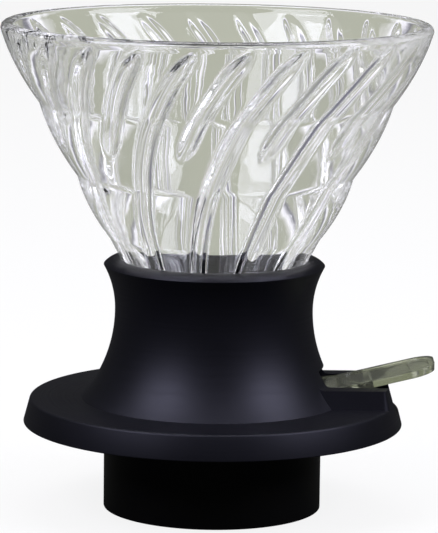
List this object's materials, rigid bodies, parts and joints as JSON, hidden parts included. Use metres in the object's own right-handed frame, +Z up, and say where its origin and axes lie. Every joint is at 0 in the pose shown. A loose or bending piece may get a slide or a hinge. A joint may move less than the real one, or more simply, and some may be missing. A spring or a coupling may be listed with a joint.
{
  "type": "immersion coffee dripper",
  "caption": "Immersion coffee dripper: spiral-ribbed glass cone in a waisted black base with a flange, server skirt and spout, and a clear side lever that lifts a ball valve.",
  "frame": {"origin": "centre of the skirt's foot, on the plane the dripper stands on", "axes": "+Z up along the cone's axis, +X towards the lever"},
  "size_m": [0.118, 0.116, 0.1325],
  "materials": {
    "clear_glass": "clear pressed glass",
    "black_collar": "matte with fine turned lines",
    "black_skirt": "matte moulded",
    "seat_rubber": "soft matte",
    "polished_steel": "polished stainless steel",
    "clear_plastic": "clear moulded",
    "pin_steel": "ground"
  },
  "bodies": {
    "base": {"glass_cone": "clear_glass", "base_collar": "black_collar", "lower_skirt": "black_skirt", "valve_seat": "seat_rubber", "hinge_pin": "pin_steel"},
    "lever": {"switch_lever": "clear_plastic"},
    "ball": {"valve_ball": "polished_steel"}
  },
  "joints": [
    {"name": "lever_rock", "type": "hinge", "parent": "base", "child": "lever", "pos_m": [0.016, 0, 0.0315], "axis": [0, 1, 0], "range_deg": [0, 13]},
    {"name": "ball_lift", "type": "slide", "parent": "base", "child": "ball", "axis": [0, 0, 1], "range_m": [0, 0.00363]}
  ],
  "couplings": [
    {"joint": "lever_rock", "follows": "ball_lift", "rad_per_m": 62.5}
  ]
}
